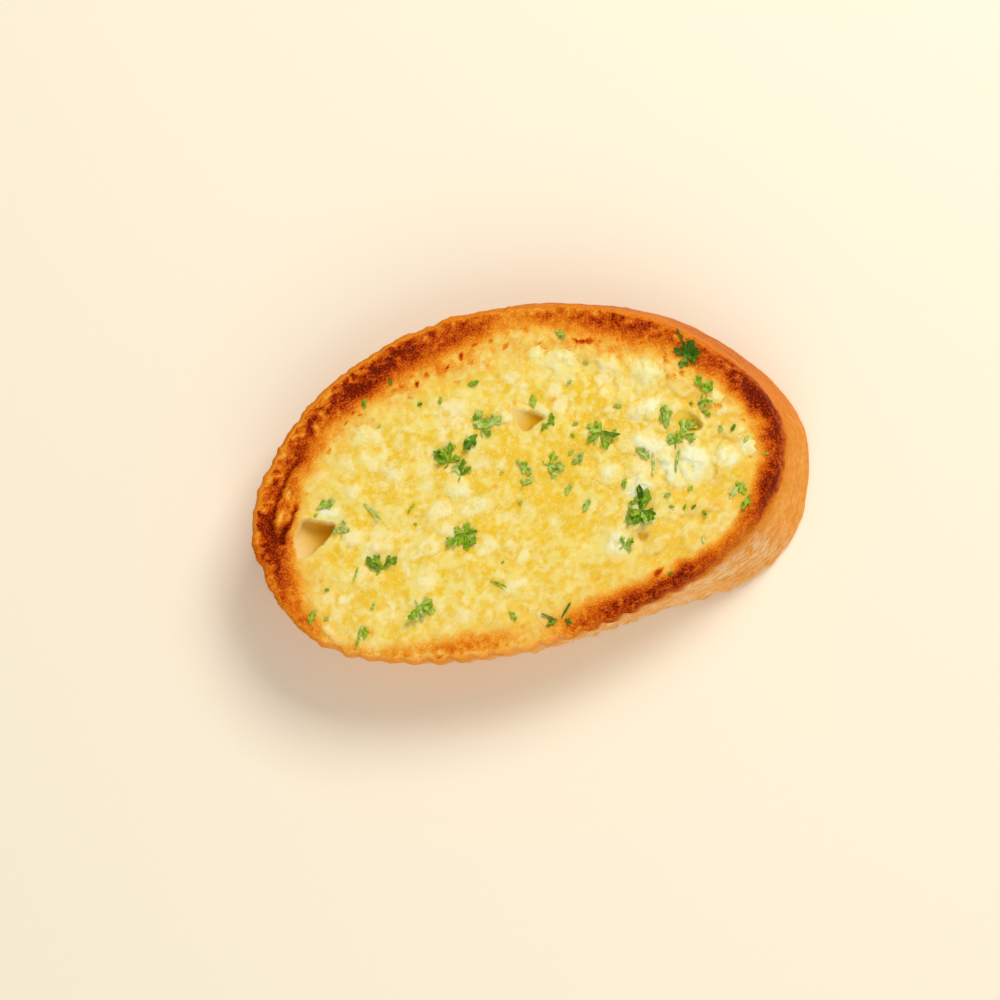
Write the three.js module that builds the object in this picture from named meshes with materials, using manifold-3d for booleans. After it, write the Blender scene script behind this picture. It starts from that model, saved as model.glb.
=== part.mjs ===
// Garlic bread: one slice cut on the slant from a crusty loaf, toasted at the rim, spread with garlic
// butter and scattered with chopped parsley. Millimetres, +Z up. The slice lies on its lower cut face,
// with X along its length and Y towards the domed top of the loaf. The origin is the middle of the
// bottom of its box.

import * as THREE from "three";
import { ParametricGeometry } from "three/addons/geometries/ParametricGeometry.js";
import { mergeVertices } from "three/addons/utils/BufferGeometryUtils.js";
import Module from "manifold-3d";

// Outline of the upper cut face, anticlockwise from its right end
const RIM = [
  [51.5, -3.5], [46.3, 13.8], [29.6, 28.5], [4.4, 35.8], [-22.1, 33.5], [-43.1, 22.6],
  [-56.5, 5.7], [-57.7, -10.3], [-46.5, -28], [-19.3, -35], [8.2, -33], [38.5, -21.4],
];
const FACE_CENTRE = new THREE.Vector2(-3, 0);
const FACE_HALF_LENGTH = 55;
const FACE_HALF_WIDTH = 35;

// Crust wall between the two cut faces
const THICKNESS = 20;
const LEAN = new THREE.Vector2(5.8, 2.7); // the slant of the cut moves the lower face this far
const HEEL_AT = new THREE.Vector2(41, -27); // the corner where the loaf's side turns under
const HEEL_OUT = 7.1; // how far the crust swells there at the foot
const HEEL_REACH = 23.5;
const BELLY = 0.3; // how far the wall swells halfway down
const EDGE_ROUND = 1.2; // radius where a cut face turns into the wall
const RIPPLE = 0.14; // uneven crust, in and out
const RIPPLE_WAVES = [13, 29]; // two waves, in cycles once round
const RIDGE_PITCH = 4.6; // ridges that the baking tray left on the loaf's base
const RIDGE_OUT = 0.4;
const BASE_BELOW = -20; // the base crust is the wall below this Y
const BASE_FADE = 8;

// Toasted cut face
const RIM_RISE = 0.6; // the dried rim stands above the soaked crumb
const CRUMB_SWELL = 0.22; // height of the face's slow swells
const SWELL_LENGTH = 13;

// Rows and columns of the slice's surface
const COLUMNS = 120;
const FACE_ROWS = 9;
const EDGE_ROWS = 2;
const WALL_ROWS = 5;
const BASE_ROWS = 1;

// Holes in the crumb: x, y, length, width, depth, turn in degrees
const HOLES = [
  [-45.5, -4, 10, 6, 4.5, 30],
  [0.5, 12.2, 8, 4.6, 3.5, -27],
  [33.6, 5.2, 6.4, 5.2, 3, -40],
  [19.8, -18, 4.4, 3.2, 2.5, 30],
];

// A strip of crust that has lifted from the rim: x, y, length, width, turn in degrees
const CRUST_FLAKE = [-50.2, 4.5, 13, 3.4, 60];

// Crushed garlic: x, y, length, width, turn in degrees
const GARLIC = [
  [33.2, -3.9, 8.2, 6.2, 84],
  [25.6, 1.2, 7.7, 3.8, -28],
  [10.5, 22.1, 6.7, 5.4, -36],
  [6, 24.8, 3, 2.5, 60],
  [27.2, 16, 6.4, 5.6, -55],
  [26.1, 9, 6.7, 2.2, 25],
  [40.3, -4.3, 4.8, 4.2, 20],
  [46.7, -3.2, 4.7, 3.9, -30],
  [20.6, -6.4, 5.2, 4, -10],
  [15.8, -1.5, 4.7, 3.6, 0],
  [14.4, -17.4, 4.7, 4.3, 40],
  [40.6, 8.6, 2.8, 2.4, 0],
  [-15.3, -0.2, 4.7, 4.2, 0],
  [-12.9, -3.9, 6, 3, 10],
  [-32.5, 14.9, 5, 3.4, 20],
  [-41.8, 0.6, 4.3, 3.1, 5],
  [-25.3, -17.5, 4.4, 3.2, -10],
];
const LUMP_UNEVEN = 0.1; // how far a lump departs from an egg, as a share of its size
const GARLIC_HEIGHT = 0.42; // height of a lump as a share of its width, half of it above the crumb

// Chopped parsley by kind: x, y of the foot of the stalk, span, turn in degrees
const PARSLEY = {
  fan: [
    [-7.9, 11.5, 4.6, 55], [-16.2, 6.1, 4.1, 84], [36.4, 18.9, 3.9, 29], [30.4, 0.8, 3.3, 79],
    [20.5, -11.7, 4.5, 244], [-15.7, -9.3, 4.5, 229], [-27.9, -22.3, 4.4, -69],
  ],
  trio: [
    [-14.3, 2.9, 3.4, 64], [-2, -1.7, 2.6, 34], [3.7, 1.3, 3.8, -31], [16, 6.3, 4.5, 267],
    [16, 6.3, 3.2, 137], [36.4, 18.9, 4.2, 229], [38.2, 10, 4, 49], [38.5, 8.5, 2.6, 254],
    [32, 2.5, 4.2, 4], [15.6, -18.4, 2.8, 19], [-15.7, -9.3, 3.1, 69], [-33.5, -12.4, 3.4, 31],
    [-34.8, -12.2, 4.7, 174], [-43.8, 2.1, 4, 19], [-40.4, -4.2, 2.6, 74],
  ],
  leaf: [
    [-9.4, 10.7, 4.2, 216], [3.2, 13.6, 3.7, 70], [6.7, 9.2, 3.5, 103], [6.3, 9.9, 2.6, 198],
    [-2.5, 3.7, 4.1, -32], [8.5, 0.7, 4.6, 17], [37, 6.3, 3, -22], [29.3, 4, 6.6, 84],
    [22, 1.2, 4.4, -42], [20.5, -11.7, 4.8, 60], [18.2, -6.7, 3.1, 94], [38.8, -12.9, 3, 56],
    [40.9, -9.5, 4.4, -56], [43.1, -12.9, 3.4, 211], [-0.7, -30.5, 2.4, 217],
    [0.7, -30.6, 2.6, -63], [-42.6, -28.6, 6.2, 39], [10.9, 29, 3.5, -49], [-50.4, -21.8, 3, 67],
    [-10.1, -26.7, 2.4, -65],
  ],
  shred: [
    [36.4, 20.8, 3.4, 114], [25.3, -0.3, 4.4, -70], [29.1, -5.6, 5.1, 72], [-39.1, -12.2, 3, 244],
    [-0.7, -30.6, 4.1, 144], [0, -30.4, 3.9, 49], [-35, 1, 5.4, -49], [-26.4, -2.9, 3.6, 58],
    [-12.8, -19.8, 3.7, -17],
  ],
};
// Each kind of sprig is a fan of pointed lobes: how many, the fan's spread and a lobe's half width
const SPRIG_KINDS = {
  fan: { lobes: 5, spread: 150, half: 13 },
  trio: { lobes: 3, spread: 85, half: 15 },
  leaf: { lobes: 1, spread: 0, half: 21 },
  shred: { lobes: 1, spread: 0, half: 7 },
};
const LEAF_THICKNESS = 0.7;
const LEAF_SUNK = 0.4; // how deep a leaf's underside lies in the butter
const LEAF_CURL = 0.16; // how far a leaf's tip lifts, as a share of its span
const NOTCH = 0.42; // where two lobes part, as a share of the span
const SHOULDER = 0.7; // where a lobe is widest, as a share of the span
const LOBE_UNEVEN = 0.14; // how far some lobes fall short of the span
const STALK = 0.14; // length of the stalk behind its foot, as a share of the span
const STALK_HALF = 0.06;

const wasm = await Module();
wasm.setup();

const radians = THREE.MathUtils.degToRad;
const rimPoints = RIM.map(([x, y]) => new THREE.Vector3(x, y, 0));
const rimCurve = new THREE.CatmullRomCurve3(rimPoints, true, "catmullrom", 0.5);

// Point of the rim and the direction out of the slice there, for t from 0 to 1 once round
function rimFrame(t) {
  const tangent = rimCurve.getTangent(t);
  const point = rimCurve.getPoint(t);
  return { at: new THREE.Vector2(point.x, point.y), out: new THREE.Vector2(tangent.y, -tangent.x) };
}

// Height of the upper cut face: slow swells, and a rim that rises towards the crust
function faceHeight(x, y) {
  const reach = Math.hypot((x - FACE_CENTRE.x) / FACE_HALF_LENGTH, (y - FACE_CENTRE.y) / FACE_HALF_WIDTH);
  const across = Math.sin((2 * Math.PI * (x + 0.4 * y)) / SWELL_LENGTH);
  const along = Math.sin((2 * Math.PI * (y - 0.3 * x)) / SWELL_LENGTH + 1);
  return THICKNESS + RIM_RISE * Math.min(reach, 1) ** 4 + CRUMB_SWELL * across * along;
}

// How far the crust wall stands out from the rim at t, for w from 0 at the rim to 1 at the foot
function wallShift(t, w) {
  const { at, out } = rimFrame(t);
  const heel = HEEL_OUT * Math.exp(-((at.distanceTo(HEEL_AT) / HEEL_REACH) ** 2)) * w;
  const belly = BELLY * 4 * w * (1 - w);
  const [slow, quick] = RIPPLE_WAVES.map((waves) => Math.sin(2 * Math.PI * waves * t + 4 * w));
  const ripple = RIPPLE * (slow + quick);
  const onBase = THREE.MathUtils.smoothstep(BASE_BELOW - at.y, 0, BASE_FADE);
  const ridges = RIDGE_OUT * onBase * Math.sin((2 * Math.PI * at.x) / RIDGE_PITCH);
  return LEAN.clone().multiplyScalar(w).addScaledVector(out, heel + belly + ripple + ridges);
}

// Point of the wall at t and w, drawn back by inset towards the middle of the slice
function wallPoint(t, w, inset) {
  const { at, out } = rimFrame(t);
  return at.add(wallShift(t, w)).addScaledVector(out, -inset);
}

// The slice's skin: the upper face from its middle out, over the rounded edge, down the wall, round the
// foot and in under the lower face
function sliceSkin() {
  const rounded = (row) => {
    const angle = (row / EDGE_ROWS) * (Math.PI / 2);
    return { inset: EDGE_ROUND * (1 - Math.sin(angle)), drop: EDGE_ROUND * (1 - Math.cos(angle)) };
  };
  const rows = FACE_ROWS + EDGE_ROWS + WALL_ROWS + EDGE_ROWS + BASE_ROWS;
  const place = (u, v, target) => {
    const t = (1 - u) % 1;
    let row = Math.round(v * rows);
    const faceEdge = wallPoint(t, 0, EDGE_ROUND);
    if (row <= FACE_ROWS) {
      const share = Math.sin((row / FACE_ROWS) * (Math.PI / 2));
      const at = FACE_CENTRE.clone().lerp(faceEdge, share);
      target.set(at.x, at.y, faceHeight(at.x, at.y));
      return;
    }
    const faceZ = faceHeight(faceEdge.x, faceEdge.y);
    const wallTop = faceZ - EDGE_ROUND;
    row -= FACE_ROWS;
    if (row <= EDGE_ROWS) {
      const { inset, drop } = rounded(row);
      const at = wallPoint(t, 0, inset);
      target.set(at.x, at.y, faceZ - drop);
      return;
    }
    row -= EDGE_ROWS;
    if (row <= WALL_ROWS) {
      const w = row / WALL_ROWS;
      const at = wallPoint(t, w, 0);
      target.set(at.x, at.y, THREE.MathUtils.lerp(wallTop, EDGE_ROUND, w));
      return;
    }
    row -= WALL_ROWS;
    if (row <= EDGE_ROWS) {
      const { inset, drop } = rounded(EDGE_ROWS - row);
      const at = wallPoint(t, 1, inset);
      target.set(at.x, at.y, drop);
      return;
    }
    const share = 1 - (row - EDGE_ROWS) / BASE_ROWS;
    const at = FACE_CENTRE.clone().add(LEAN).lerp(wallPoint(t, 1, EDGE_ROUND), share);
    target.set(at.x, at.y, 0);
  };
  return new ParametricGeometry(place, COLUMNS, rows);
}

// Egg-shaped lump or hollow, a little uneven, with its middle on the face
function lump(x, y, length, width, height, turn) {
  const geometry = new THREE.IcosahedronGeometry(1, 1);
  const position = geometry.attributes.position;
  const point = new THREE.Vector3();
  for (let i = 0; i < position.count; i += 1) {
    point.fromBufferAttribute(position, i);
    point.multiplyScalar(1 + LUMP_UNEVEN * Math.sin(4 * point.x + x) * Math.sin(5 * point.y + y));
    position.setXYZ(i, point.x, point.y, point.z);
  }
  geometry.scale(length / 2, width / 2, height / 2);
  geometry.rotateZ(radians(turn));
  return geometry.translate(x, y, faceHeight(x, y));
}

// Outline of a sprig: a short stalk, then pointed lobes in a fan along +X
function sprigOutline(kind, span) {
  const { lobes, spread, half } = SPRIG_KINDS[kind];
  const step = lobes > 1 ? spread / (lobes - 1) : 0;
  const polar = (share, degrees) =>
    new THREE.Vector2(share * span, 0).rotateAround(new THREE.Vector2(), radians(degrees));
  const points = [new THREE.Vector2(-STALK * span, -STALK_HALF * span)];
  for (let lobe = 0; lobe < lobes; lobe += 1) {
    const angle = lobe * step - spread / 2;
    const reach = 1 - LOBE_UNEVEN * (1 - Math.cos(3 * lobe));
    points.push(polar(SHOULDER * reach, angle - half));
    points.push(polar(reach, angle));
    points.push(polar(SHOULDER * reach, angle + half));
    if (lobe < lobes - 1) {
      points.push(polar(NOTCH, angle + step / 2));
    }
  }
  points.push(new THREE.Vector2(-STALK * span, STALK_HALF * span));
  return new THREE.Shape(points);
}

// A sprig lying on the face: a thin leaf that curls up towards its tips and waves across
function sprig(kind, x, y, span, turn) {
  const outline = sprigOutline(kind, span);
  const geometry = new THREE.ExtrudeGeometry(outline, { depth: LEAF_THICKNESS, bevelEnabled: false });
  const position = geometry.attributes.position;
  for (let i = 0; i < position.count; i += 1) {
    const along = position.getX(i) / span;
    const across = position.getY(i) / span;
    const lift = LEAF_CURL * span * (along * along + across * across * Math.cos(3 * x));
    position.setZ(i, position.getZ(i) + lift);
  }
  geometry.rotateZ(radians(turn));
  return geometry.translate(x, y, faceHeight(x, y) - LEAF_SUNK);
}

// Closed solid of a geometry, with its shared corners merged and its collapsed triangles left out
function toSolid(geometry) {
  geometry.deleteAttribute("normal");
  geometry.deleteAttribute("uv");
  const merged = mergeVertices(geometry);
  const corners = [];
  for (let i = 0; i < merged.index.count; i += 3) {
    const [a, b, c] = merged.index.array.slice(i, i + 3);
    if (a !== b && b !== c && c !== a) {
      corners.push(a, b, c);
    }
  }
  const triVerts = Uint32Array.from(corners);
  const mesh = new wasm.Mesh({ numProp: 3, vertProperties: merged.attributes.position.array, triVerts });
  return new wasm.Manifold(mesh);
}

// Geometry of a solid, moved so that the middle of the bottom of its box is the origin
function toGeometry(solid) {
  const mesh = solid.getMesh();
  const geometry = new THREE.BufferGeometry();
  geometry.setAttribute("position", new THREE.BufferAttribute(mesh.vertProperties, 3));
  geometry.setIndex(new THREE.BufferAttribute(mesh.triVerts, 1));
  geometry.computeBoundingBox();
  const middle = geometry.boundingBox.getCenter(new THREE.Vector3());
  return geometry.translate(-middle.x, -middle.y, -geometry.boundingBox.min.z);
}

// The slice with its holes, and the toppings fused to it. Of what the joins leave, the largest body is
// the bread: a loose scrap or a sealed hollow is a body of its own and goes.
function garlicBread() {
  let bread = toSolid(sliceSkin());
  for (const [x, y, length, width, depth, turn] of HOLES) {
    bread = bread.subtract(toSolid(lump(x, y, length, width, 2 * depth, turn)));
  }
  for (const [x, y, length, width, turn] of [CRUST_FLAKE, ...GARLIC]) {
    bread = bread.add(toSolid(lump(x, y, length, width, GARLIC_HEIGHT * width, turn)));
  }
  for (const [kind, places] of Object.entries(PARSLEY)) {
    for (const [x, y, span, turn] of places) {
      bread = bread.add(toSolid(sprig(kind, x, y, span, turn)));
    }
  }
  const bodies = bread.decompose();
  return bodies.reduce((best, body) => (body.volume() > best.volume() ? body : best));
}

const toast = new THREE.MeshStandardMaterial({ color: 0xe6bb5c, roughness: 0.6, metalness: 0 });
const slice = new THREE.Mesh(toGeometry(garlicBread()), toast);
slice.name = "garlic_bread";

const group = new THREE.Group();
group.add(slice);

export default group;
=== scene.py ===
# %% [markdown]
# # A slice of garlic bread
# The real thing is one slanted slice of a crusty loaf, toasted, soaked with garlic butter and scattered with
# chopped parsley. It lies on its lower cut face, and the camera looks down on the buttered one.
# The solid model gives the frame: its box says where the slice lies, and everything below is built inside it.
# Lengths are worked out in millimetres and turned into metres when a mesh is made.

# %% Load the frame and keep the box of the solid
from functools import cache

import bpy
import numpy as np
from mathutils import Matrix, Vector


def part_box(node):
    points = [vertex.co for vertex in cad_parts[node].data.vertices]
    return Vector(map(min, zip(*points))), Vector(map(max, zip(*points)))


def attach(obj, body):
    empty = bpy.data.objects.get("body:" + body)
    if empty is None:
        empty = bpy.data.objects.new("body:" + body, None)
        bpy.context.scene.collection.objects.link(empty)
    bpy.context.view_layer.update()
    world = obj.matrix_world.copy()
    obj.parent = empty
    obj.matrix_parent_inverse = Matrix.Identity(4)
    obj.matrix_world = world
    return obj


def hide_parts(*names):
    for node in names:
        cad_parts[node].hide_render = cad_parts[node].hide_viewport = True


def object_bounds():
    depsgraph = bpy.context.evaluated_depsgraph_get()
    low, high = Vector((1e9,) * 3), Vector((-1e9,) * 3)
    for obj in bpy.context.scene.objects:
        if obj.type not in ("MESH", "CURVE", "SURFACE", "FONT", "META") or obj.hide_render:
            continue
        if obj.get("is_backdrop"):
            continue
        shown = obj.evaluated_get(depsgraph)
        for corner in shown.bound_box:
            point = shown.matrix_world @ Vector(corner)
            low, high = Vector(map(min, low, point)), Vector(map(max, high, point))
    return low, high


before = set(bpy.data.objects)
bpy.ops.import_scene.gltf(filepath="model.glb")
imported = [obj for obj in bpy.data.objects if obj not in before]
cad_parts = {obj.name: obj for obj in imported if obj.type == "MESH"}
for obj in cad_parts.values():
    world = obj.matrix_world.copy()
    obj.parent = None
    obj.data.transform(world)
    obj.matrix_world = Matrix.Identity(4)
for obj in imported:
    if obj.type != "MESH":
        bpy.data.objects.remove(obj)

MM = 0.001
NODE = "garlic_bread"
cad_low, cad_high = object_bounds()
box_low, box_high = (np.array(corner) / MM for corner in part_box(NODE))
print("solid box in mm:", box_low.round(1), box_high.round(1))

# %% [markdown]
# ## The outline of the cut face
# A loaf cut on the slant gives an oval with a domed top, a flatter base and one end fuller than the other.
# A circle that is squashed would be too even, so twelve points carry a closed smooth curve. The wall below
# it leans, because the knife went through the loaf at an angle, and swells at the heel, where side and base
# meet.

# %% The rim as a closed curve
# Points of the rim in millimetres, anticlockwise from the right end
RIM = np.array([
    [51.5, -3.5], [46.3, 13.8], [29.6, 28.5], [4.4, 35.8], [-22.1, 33.5], [-43.1, 22.6],
    [-56.5, 5.7], [-57.7, -10.3], [-46.5, -28], [-19.3, -35], [8.2, -33], [38.5, -21.4],
])
MIDDLE = np.array([-3.0, 0.0])


def once_round(points, turn):
    """Closed curve through points or numbers, for turn from 0 to 1: each stretch is the cubic that passes its
    two ends with the slope that their neighbours give."""
    count = len(points)
    place = np.mod(turn, 1) * count
    first = np.floor(place).astype(int)
    f = (place - first).reshape(place.shape + (1,) * (points.ndim - 1))
    a, b, c, d = (points[(first + k) % count] for k in (-1, 0, 1, 2))
    return 0.5 * (2 * b + (c - a) * f + (2 * a - 5 * b + 4 * c - d) * f**2 + (3 * b - a - 3 * c + d) * f**3)


def rim_frame(turn):
    """Point of the rim, and the direction out of the slice: the tangent turned a quarter to the right."""
    step = 1e-4
    tangent = once_round(RIM, turn + step) - once_round(RIM, turn - step)
    tangent /= np.linalg.norm(tangent, axis=-1, keepdims=True)
    return once_round(RIM, turn), np.stack([tangent[..., 1], -tangent[..., 0]], -1)


rim_turns = np.linspace(0, 1, 720, endpoint=False)
rim_points = once_round(RIM, rim_turns)
rim_angles = np.unwrap(np.arctan2(*(rim_points - MIDDLE).T[::-1]))
rim_radii = np.linalg.norm(rim_points - MIDDLE, axis=1)
print("rim is", np.ptp(rim_points, axis=0).round(1), "mm long and wide")

# %% Where a point of the face is, seen from the rim


def from_rim(x, y):
    """Distance from the rim along the ray from the middle, and the turn where that ray meets the rim."""
    dx, dy = x - MIDDLE[0], y - MIDDLE[1]
    angle = rim_angles[0] + np.mod(np.arctan2(dy, dx) - rim_angles[0], 2 * np.pi)
    wrapped = np.append(rim_angles, rim_angles[0] + 2 * np.pi)
    radius = np.interp(angle, wrapped, np.append(rim_radii, rim_radii[0]))
    turn = np.interp(angle, wrapped, np.append(rim_turns, 1.0))
    return radius - np.hypot(dx, dy), turn


print("from the middle to the right end:", from_rim(*MIDDLE)[0].round(1), "mm")

# %% [markdown]
# ## Unevenness
# Bread has lumps and pores of every size. Smooth random hills give the slow ones, and random cells give the
# lumps and pores that have an edge. Both are worked out here with numpy instead of a Displace modifier, so
# that the same unevenness can shape the mesh, tint it and carry the toppings.

# %% Random hills
TABLE_SIZE = 64


def ease(a, b, x):
    """0 below a, 1 above b, and a smooth step between."""
    f = np.clip((x - a) / (b - a), 0, 1)
    return f * f * (3 - 2 * f)


@cache
def random_slopes(seed):
    """One table of random slopes, kept so that it is made only once."""
    return np.random.default_rng(seed).normal(size=(TABLE_SIZE,) * 3 + (3,)).astype(np.float32)


def hills(x, y, z, size, seed):
    """Smooth random hills of about the given size, mostly between -1 and 1: random slopes at the corners of a
    grid of cubes, blended inside each cube."""
    slopes = random_slopes(seed)
    place = np.stack(np.broadcast_arrays(x, y, z), -1) / size
    corner = np.floor(place).astype(int)
    f = place - corner
    smooth = f**3 * (f * (6 * f - 15) + 10)
    total = 0
    for step in np.ndindex(2, 2, 2):
        i, j, k = np.moveaxis((corner + step) % TABLE_SIZE, -1, 0)
        weight = np.prod(np.where(step, smooth, 1 - smooth), axis=-1)
        total = total + weight * np.sum(slopes[i, j, k] * (f - step), axis=-1)
    return total


def rough(x, y, z, size, seed, layers=3):
    """Hills with finer hills on them: each layer is half the size and half the height of the last."""
    return sum(hills(x, y, z, size / 2**n, seed + n) / 2**n for n in range(layers))


sample = hills(np.linspace(0, 100, 1000), 0, 0, 5, 5)
print("hills along a line run from", sample.min().round(1), "to", sample.max().round(1))

# %% Random cells, ovals and shapes with straight edges
CORNER_SHARPNESS = 2


def cells(x, y, size, seed):
    """Random cells: the distance to the nearest of a jittered grid of points, in cell sizes, and the random
    number from 0 to 1 that this point carries."""
    table = np.random.default_rng(seed).uniform(size=(TABLE_SIZE, TABLE_SIZE, 3))
    u, v = x / size, y / size
    column, row = np.floor(u).astype(int), np.floor(v).astype(int)
    nearest = np.full(u.shape, 9.0)
    number = np.zeros(u.shape)
    for a, b in np.ndindex(3, 3):
        i, j = column + a - 1, row + b - 1
        jitter_x, jitter_y, value = np.moveaxis(table[i % TABLE_SIZE, j % TABLE_SIZE], -1, 0)
        distance = np.hypot(i + jitter_x - u, j + jitter_y - v)
        number = np.where(distance < nearest, value, number)
        nearest = np.minimum(distance, nearest)
    return nearest, number


def along_across(x, y, oval):
    """How far a point is along and across an oval, which is x, y, length, width and turn in degrees."""
    centre_x, centre_y, _, _, turn = oval
    c, s = np.cos(np.radians(turn)), np.sin(np.radians(turn))
    return (x - centre_x) * c + (y - centre_y) * s, (y - centre_y) * c - (x - centre_x) * s


def in_oval(x, y, oval):
    """How far out a point is in an oval: 0 in the middle, 1 on the edge."""
    along, across = along_across(x, y, oval)
    return np.hypot(along / (oval[2] / 2), across / (oval[3] / 2))


def past_edges(x, y, corners):
    """How far a point is outside a shape with straight edges and rounded corners, less than 0 inside: a soft
    maximum of its distances past the line of each edge, with the corners given anticlockwise."""
    total = 0
    for (ax, ay), (bx, by) in zip(corners, corners[1:] + corners[:1]):
        past = ((by - ay) * (x - ax) - (bx - ax) * (y - ay)) / np.hypot(bx - ax, by - ay)
        total = total + np.exp(np.minimum(CORNER_SHARPNESS * past, 50))
    return np.log(total) / CORNER_SHARPNESS


print("half way out in an oval:", in_oval(1, 0, [0, 0, 4, 2, 0]))

# %% [markdown]
# ## The buttered face
# Seen close, the face is soft lumps of crumb with butter between them, a ring of dry toast near the rim,
# a few open holes and a strip of crust that has lifted. All of it is one height above the table and a few
# shares from 0 to 1 for every point, which travel with the mesh for the material. An image could be painted
# instead, but a formula can be asked anywhere, so the toppings can stand on the same face.

# %% The slow height, and the unevenness of each layer
THICKNESS = 20
FACE_HALF = np.array([55, 35])
RIM_RISE = 0.6
CRUMB_SWELL = 0.22
SWELL_LENGTH = 13
# Size in millimetres and random seed of each kind of hills, and of each kind of cells
HILLS = {
    "ragged": (2.4, 5), "drift": (15, 8), "pool": (5, 11), "soaked": (6, 13), "wicked": (1.8, 15),
    "patches": (7, 17), "ring edge": (4, 19), "glow": (3, 21), "grain": (1.5, 23), "strip": (2, 27),
    "streaks": (0.9, 27), "hole edge": (3, 31), "clump": (3.4, 35), "pores": (6, 41), "lumps": (4, 43),
}
CELLS = {
    "curd": (3.1, 7), "grit": (1.5, 9), "spot": (5, 25), "dot": (2.4, 29), "drop": (4.2, 33),
    "pore": (1.9, 37), "clump": (5.2, 39),
}


def slow_height(x, y):
    """Height without any layer: the thickness, a rim that rises with the fourth power of the way out from
    the middle, and a swell of two crossed waves."""
    out = np.minimum(np.hypot((x - MIDDLE[0]) / FACE_HALF[0], (y - MIDDLE[1]) / FACE_HALF[1]), 1)
    wave = 2 * np.pi / SWELL_LENGTH
    swell = CRUMB_SWELL * np.sin(wave * (x + 0.4 * y)) * np.sin(wave * (y - 0.3 * x) + 1)
    return THICKNESS + RIM_RISE * out**4 + swell


def uneven(name, x, y, z=0):
    """Hills with finer hills on them, of the size and seed that HILLS gives for the name."""
    return rough(x, y, z, *HILLS[name])


print("slow height in the middle and at the right end:", slow_height(np.array([0, 50]), 0).round(2), "mm")

# %% [markdown]
# ### Crumb
# Crumb soaked with butter breaks into curds. Each could be sculpted, but nobody sees them one by one, so
# random cells with ragged borders make them. Only lumps that catch the eye are listed, and the crumb round
# the garlic is smeared pale.

# %% Curds, soft lumps and smears
# Soft pale lumps of crumb and garlic that are half melted into the face: x, y, length, width, turn in degrees
SOFT_LUMPS = [
    [-19.8, -3.8, 6, 4.4, 10], [-36.9, 4, 3.6, 3.2, 60], [-28.1, 5.7, 6, 2.6, -60], [-38.2, -5.4, 4.6, 4, 0],
    [-23.5, -10.3, 4.8, 4, 0], [-33.9, -8.5, 3, 2.4, 0], [-42.1, -17.4, 4.8, 2.4, 5], [20.1, 19.4, 5, 4, 0],
    [22.4, -3.3, 5.4, 4.4, 0], [41.5, 5.6, 3, 2.6, 0], [-2.6, 12.8, 3.4, 2.8, -60], [-47.2, -23.8, 5, 2, -50],
    [-13.5, 16.8, 7, 4.5, 20], [-8, -21.8, 6, 3.5, 10], [-20, -7.1, 3.4, 2.8, 0], [-25.3, -17.5, 5, 3.6, -10],
]
# Crushed garlic: x, y, length, width, turn in degrees, and how white it is
GARLIC = np.array([
    [33.2, -3.9, 8.2, 6.2, 84, 1.2], [25.6, 1.2, 7.7, 3.8, -28, 1.2], [27.9, -4, 7.5, 3.6, 98, 0.9],
    [10.5, 22.1, 6.7, 5.4, -36, 0.65], [6, 24.8, 3, 2.5, 60, 0.6], [27.2, 16, 6.4, 5.6, -55, 0.65],
    [26.1, 9, 6.7, 2.6, 25, 1.1], [40.3, -4.3, 4.8, 4.2, 20, 1], [44.8, -2.8, 3.2, 2.7, -30, 0.85],
    [20.6, -6.4, 5.2, 4, -10, 1.35], [15.9, -2.8, 5.2, 4.2, 0, 0.7], [14.4, -17.4, 4.7, 4.3, 40, 1],
    [40.6, 8.6, 2.8, 2.4, 0, 0.6], [-15.3, -0.2, 4.9, 4.4, 0, 0.75], [-12.9, -3.9, 6.4, 3.2, 10, 0.8],
    [-32.5, 14.9, 5, 3.4, 20, 0.5], [-42.1, 0.8, 3.8, 3.3, 5, 1.2],
])


def crumb_lumps(x, y, ragged, gap):
    """Shares of the lumps: curds and grit are the middles of small cells, clumps those of large cells to the
    right, soft lumps ovals. Gaps lie between. Pale is the largest of lumps and of smears round the garlic."""
    near, number = cells(*ragged, *CELLS["curd"])
    curd = ease(0.7, 0.1, near) * ease(0.25, 0.75, number)
    small_near, small_number = cells(*ragged, *CELLS["grit"])
    grit = ease(0.7, 0.1, small_near) * ease(0.2, 0.8, small_number)
    to_right, loose = ease(4, 24, x), 0.4 + 0.6 * ease(-5, 22, x)
    big_x, big_y = x + 1.4 * uneven("clump", x, y), y + 1.4 * uneven("clump", x, y, 5)
    big_near, big_number = cells(big_x, big_y, *CELLS["clump"])
    clump = to_right * ease(0.56, 0.38, big_near) * ease(0.35, 0.6, big_number) * ease(5, 9, gap)
    gaps = loose * (ease(0.35, 0.65, near) + ease(0.35, 0.7, small_near) - 0.55)
    gaps = gaps + to_right * (ease(0.38, 0.56, big_near) - 0.25)

    soft = np.max([ease(1.25, 0.35, in_oval(*ragged, lump)) for lump in SOFT_LUMPS], axis=0)
    smears = [
        (0.25 + 0.4 * min(white, 1) ** 2) * ease(2.2, 0.7, in_oval(*ragged, oval)) for *oval, white in GARLIC
    ]
    pale = 0.8 * curd * ease(-0.3, 0.3, uneven("drift", x, y)) + (0.4 + 0.3 * loose) * grit
    pale = np.max([pale, soft, clump * (0.2 + 0.55 * grit), *smears], axis=0)
    return curd, grit, clump, soft, gaps, pale


print(len(SOFT_LUMPS), "soft lumps and", len(GARLIC), "lumps of garlic")

# %% [markdown]
# ### Butter
# Melted butter soaks in unevenly, runs together in golden pools and stands in drops. It could be a liquid
# skin on the bread, but nearly all has soaked in, so a share that colours the crumb will do.

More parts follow.
